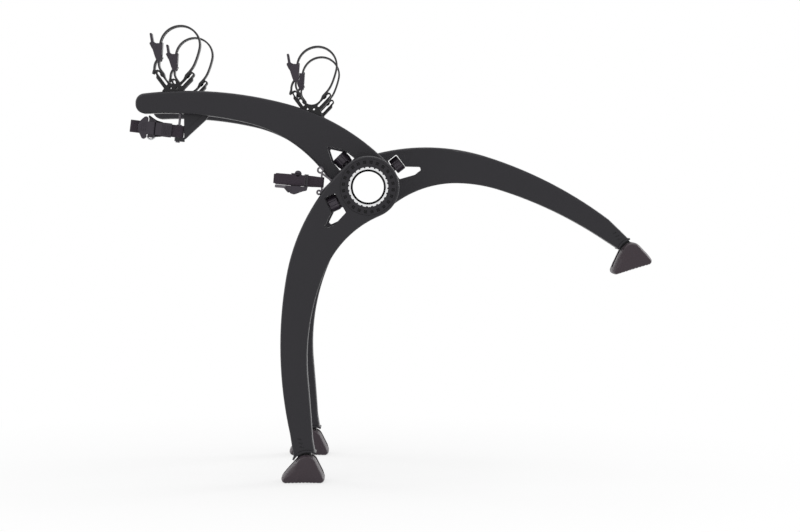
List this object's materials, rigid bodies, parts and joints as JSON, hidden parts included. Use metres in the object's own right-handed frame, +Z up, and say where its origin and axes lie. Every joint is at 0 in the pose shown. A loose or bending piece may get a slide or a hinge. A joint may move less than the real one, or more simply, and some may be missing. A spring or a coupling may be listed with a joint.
{
  "type": "trunk mounted bike rack",
  "caption": "Curved legs and arms that turn on a fluted tube and lock by knobs, with rubber feet, strapped tube cradles and cam buckles, for carrying bicycles behind a car.",
  "frame": {"origin": "on the main tube's axis, halfway along it", "axes": "+X level towards the car (right in the picture), +Y along the main tube away from the viewer, +Z up"},
  "size_m": [0.8601, 0.46, 0.7339],
  "materials": {
    "arc_plastic": "satin black",
    "tube_metal": "extruded, anodised",
    "ring_plastic": "moulded black",
    "knob_plastic": "moulded black",
    "foot_rubber": "soft moulded",
    "cradle_rubber": "soft moulded",
    "strap_rubber": "smooth moulded",
    "buckle_plastic": "moulded black",
    "steel": "zinc plated",
    "webbing": "woven polyester"
  },
  "bodies": {
    "tube": {"main_tube": "tube_metal", "index_ring_near": "ring_plastic", "index_ring_far": "ring_plastic"},
    "lower_leg_near": {"lower_leg_near": "arc_plastic"},
    "knob_lower_leg_near": {"lock_knob_lower_leg_near": "knob_plastic", "lock_stud_lower_leg_near": "steel"},
    "pawl_lower_leg_near": {"lock_pawl_lower_leg_near": "steel"},
    "lower_leg_far": {"lower_leg_far": "arc_plastic"},
    "knob_lower_leg_far": {"lock_knob_lower_leg_far": "knob_plastic", "lock_stud_lower_leg_far": "steel"},
    "pawl_lower_leg_far": {"lock_pawl_lower_leg_far": "steel"},
    "arm_near": {"arm_near": "arc_plastic", "cradle_near_outer": "cradle_rubber", "ladder_strap_near_outer": "strap_rubber", "buckle_base_near_outer": "buckle_plastic", "cradle_near_inner": "cradle_rubber", "ladder_strap_near_inner": "strap_rubber", "buckle_base_near_inner": "buckle_plastic", "base_straps_near": "strap_rubber", "buckle_pins_near": "steel", "cradle_bolts_near": "steel", "tip_strap_bracket": "arc_plastic", "tip_strap_pin": "steel", "tip_strap_webbing": "webbing", "tip_strap_buckle": "buckle_plastic"},
    "knob_arm_near": {"lock_knob_arm_near": "knob_plastic", "lock_stud_arm_near": "steel"},
    "pawl_arm_near": {"lock_pawl_arm_near": "steel"},
    "arm_far": {"arm_far": "arc_plastic", "cradle_far_outer": "cradle_rubber", "ladder_strap_far_outer": "strap_rubber", "buckle_base_far_outer": "buckle_plastic", "cradle_far_inner": "cradle_rubber", "ladder_strap_far_inner": "strap_rubber", "buckle_base_far_inner": "buckle_plastic", "base_straps_far": "strap_rubber", "buckle_pins_far": "steel", "cradle_bolts_far": "steel"},
    "knob_arm_far": {"lock_knob_arm_far": "knob_plastic", "lock_stud_arm_far": "steel"},
    "pawl_arm_far": {"lock_pawl_arm_far": "steel"},
    "upper_leg": {"upper_leg": "arc_plastic"},
    "knob_upper_leg": {"lock_knob_upper_leg": "knob_plastic", "lock_stud_upper_leg": "steel"},
    "pawl_upper_leg": {"lock_pawl_upper_leg": "steel"},
    "foot_lower_near": {"foot_lower_near": "foot_rubber", "foot_pin_lower_near": "steel"},
    "foot_lower_far": {"foot_lower_far": "foot_rubber", "foot_pin_lower_far": "steel"},
    "foot_upper": {"foot_upper": "foot_rubber", "foot_pin_upper": "steel"},
    "lever_near_outer": {"buckle_lever_near_outer": "buckle_plastic"},
    "lever_near_inner": {"buckle_lever_near_inner": "buckle_plastic"},
    "lever_far_outer": {"buckle_lever_far_outer": "buckle_plastic"},
    "lever_far_inner": {"buckle_lever_far_inner": "buckle_plastic"},
    "tip_lever": {"tip_strap_lever": "buckle_plastic"},
    "hub_strap": {"hub_strap_link": "steel", "hub_strap_webbing": "webbing", "hub_strap_buckle": "buckle_plastic"},
    "hub_lever": {"hub_strap_lever": "buckle_plastic"}
  },
  "joints": [
    {"name": "lower_leg_near_turn", "type": "hinge", "parent": "tube", "child": "lower_leg_near", "pos_m": [0, -0.2, 0], "axis": [0, 1, 0], "range_deg": [-75, 30]},
    {"name": "knob_lower_leg_near_turn", "type": "hinge", "parent": "lower_leg_near", "child": "knob_lower_leg_near", "pos_m": [0, -0.2, 0], "axis": [0.9063, 0, 0.4226], "range_deg": [0, 360]},
    {"name": "pawl_lower_leg_near_slide", "type": "slide", "parent": "lower_leg_near", "child": "pawl_lower_leg_near", "axis": [0.9063, 0, 0.4226], "range_m": [0, 0.00152]},
    {"name": "lower_leg_far_turn", "type": "hinge", "parent": "tube", "child": "lower_leg_far", "pos_m": [0, 0.2, 0], "axis": [0, 1, 0], "range_deg": [-75, 30]},
    {"name": "knob_lower_leg_far_turn", "type": "hinge", "parent": "lower_leg_far", "child": "knob_lower_leg_far", "pos_m": [0, 0.2, 0], "axis": [0.9063, 0, 0.4226], "range_deg": [0, 360]},
    {"name": "pawl_lower_leg_far_slide", "type": "slide", "parent": "lower_leg_far", "child": "pawl_lower_leg_far", "axis": [0.9063, 0, 0.4226], "range_m": [0, 0.00152]},
    {"name": "arm_near_turn", "type": "hinge", "parent": "tube", "child": "arm_near", "pos_m": [0, -0.157, 0], "axis": [0, 1, 0], "range_deg": [-60, 45]},
    {"name": "knob_arm_near_turn", "type": "hinge", "parent": "arm_near", "child": "knob_arm_near", "pos_m": [0, -0.157, 0], "axis": [0.6947, 0, -0.7193], "range_deg": [0, 360]},
    {"name": "pawl_arm_near_slide", "type": "slide", "parent": "arm_near", "child": "pawl_arm_near", "axis": [0.6947, 0, -0.7193], "range_m": [0, 0.00152]},
    {"name": "arm_far_turn", "type": "hinge", "parent": "tube", "child": "arm_far", "pos_m": [0, 0.157, 0], "axis": [0, 1, 0], "range_deg": [-60, 45]},
    {"name": "knob_arm_far_turn", "type": "hinge", "parent": "arm_far", "child": "knob_arm_far", "pos_m": [0, 0.157, 0], "axis": [0.6947, 0, -0.7193], "range_deg": [0, 360]},
    {"name": "pawl_arm_far_slide", "type": "slide", "parent": "arm_far", "child": "pawl_arm_far", "axis": [0.6947, 0, -0.7193], "range_m": [0, 0.00152]},
    {"name": "upper_leg_turn", "type": "hinge", "parent": "tube", "child": "upper_leg", "pos_m": [0, 0, 0], "axis": [0, 1, 0], "range_deg": [-60, 45]},
    {"name": "knob_upper_leg_turn", "type": "hinge", "parent": "upper_leg", "child": "knob_upper_leg", "pos_m": [0, 0, 0], "axis": [-0.788, 0, -0.6157], "range_deg": [0, 360]},
    {"name": "pawl_upper_leg_slide", "type": "slide", "parent": "upper_leg", "child": "pawl_upper_leg", "axis": [-0.788, 0, -0.6157], "range_m": [0, 0.00152]},
    {"name": "foot_lower_near_tip", "type": "hinge", "parent": "lower_leg_near", "child": "foot_lower_near", "pos_m": [-0.09735, -0.2, -0.44651], "axis": [0, 1, 0], "range_deg": [-15, 15]},
    {"name": "foot_lower_far_tip", "type": "hinge", "parent": "lower_leg_far", "child": "foot_lower_far", "pos_m": [-0.09735, 0.2, -0.44651], "axis": [0, 1, 0], "range_deg": [-15, 15]},
    {"name": "foot_upper_tip", "type": "hinge", "parent": "upper_leg", "child": "foot_upper", "pos_m": [0.44304, 0, -0.1121], "axis": [0, 1, 0], "range_deg": [-15, 15]},
    {"name": "buckle_lever_near_outer_lift", "type": "hinge", "parent": "arm_near", "child": "lever_near_outer", "pos_m": [-0.34198, -0.157, 0.22463], "axis": [0, -1, 0], "range_deg": [0, 60]},
    {"name": "buckle_lever_near_inner_lift", "type": "hinge", "parent": "arm_near", "child": "lever_near_inner", "pos_m": [-0.12198, -0.157, 0.19147], "axis": [0, -1, 0], "range_deg": [0, 60]},
    {"name": "buckle_lever_far_outer_lift", "type": "hinge", "parent": "arm_far", "child": "lever_far_outer", "pos_m": [-0.34198, 0.157, 0.22463], "axis": [0, -1, 0], "range_deg": [0, 60]},
    {"name": "buckle_lever_far_inner_lift", "type": "hinge", "parent": "arm_far", "child": "lever_far_inner", "pos_m": [-0.12198, 0.157, 0.19147], "axis": [0, -1, 0], "range_deg": [0, 60]},
    {"name": "tip_lever_lift", "type": "hinge", "parent": "arm_near", "child": "tip_lever", "pos_m": [-0.34666, -0.1669, 0.09487], "axis": [0.1045, 0, 0.9945], "range_deg": [0, 50]},
    {"name": "hub_link_swing", "type": "hinge", "parent": "lower_leg_near", "child": "hub_strap", "pos_m": [-0.05742, -0.2, 0.00941], "axis": [0, 1, 0], "range_deg": [0, 35]},
    {"name": "hub_lever_lift", "type": "hinge", "parent": "hub_strap", "child": "hub_lever", "pos_m": [-0.12305, -0.2058, -0.00717], "axis": [0, -1, 0], "range_deg": [0, 50]}
  ],
  "couplings": [
    {"joint": "pawl_lower_leg_near_slide", "follows": "knob_lower_leg_near_turn", "m_per_rad": 0.00023871},
    {"joint": "pawl_lower_leg_far_slide", "follows": "knob_lower_leg_far_turn", "m_per_rad": 0.00023871},
    {"joint": "pawl_arm_near_slide", "follows": "knob_arm_near_turn", "m_per_rad": 0.00023871},
    {"joint": "pawl_arm_far_slide", "follows": "knob_arm_far_turn", "m_per_rad": 0.00023871},
    {"joint": "pawl_upper_leg_slide", "follows": "knob_upper_leg_turn", "m_per_rad": 0.00023871}
  ]
}
